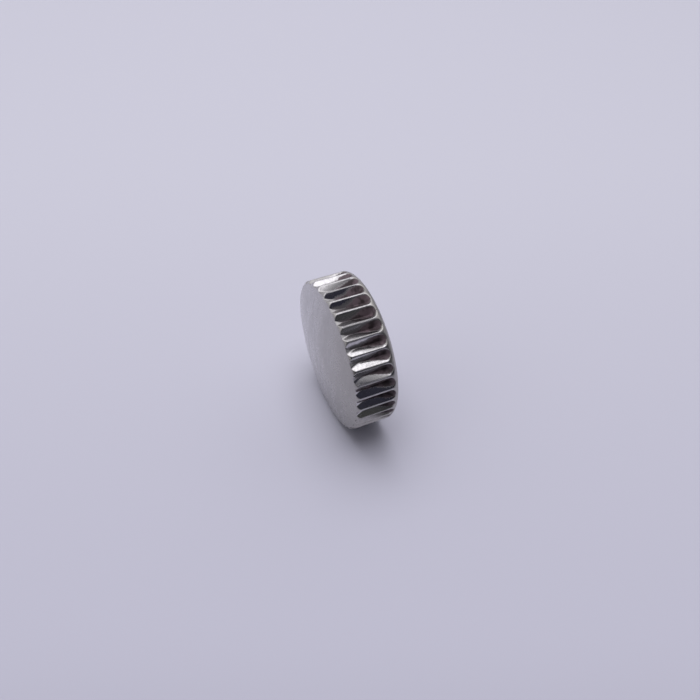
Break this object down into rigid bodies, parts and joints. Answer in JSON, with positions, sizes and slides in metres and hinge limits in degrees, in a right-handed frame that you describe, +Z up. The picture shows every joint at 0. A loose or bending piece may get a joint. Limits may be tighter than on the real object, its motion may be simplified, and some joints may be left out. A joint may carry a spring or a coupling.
{
  "type": "watch crown",
  "caption": "Round fluted watch crown with a low domed face, a tapped post for the winding stem and a gasket seal for the case tube.",
  "frame": {"origin": "on the crown's axis, at the mouth of the retaining ring's bore that the case tube enters, 0.04 mm in from the rim that faces the case", "axes": "+Y along the crown's axis from the domed face towards the watch case, +Z up with the crown standing on its flutes, +X to the right seen from the domed face"},
  "size_m": [0.0052, 0.0018, 0.0052],
  "materials": {
    "head_steel": "polished stainless steel, worn satin on the dome, with dirt in the flutes",
    "post_steel": "turned steel",
    "ring_steel": "turned steel with a fine ring grain",
    "washer_brass": "stamped brass",
    "gasket_rubber": "black nitrile rubber, greased"
  },
  "bodies": {
    "crown": {"head": "head_steel", "stem_post": "post_steel", "inner_gasket": "gasket_rubber", "outer_gasket": "gasket_rubber", "retaining_ring": "ring_steel"},
    "base_washer": {"base_washer": "washer_brass"},
    "spacer_ring": {"spacer_ring": "washer_brass"}
  },
  "joints": [
    {"name": "base_washer_spin", "type": "hinge", "parent": "crown", "child": "base_washer", "pos_m": [0, -0.00119, 0], "axis": [0, 1, 0], "continuous": true},
    {"name": "spacer_ring_spin", "type": "hinge", "parent": "crown", "child": "spacer_ring", "pos_m": [0, -0.00067, 0], "axis": [0, 1, 0], "continuous": true}
  ]
}
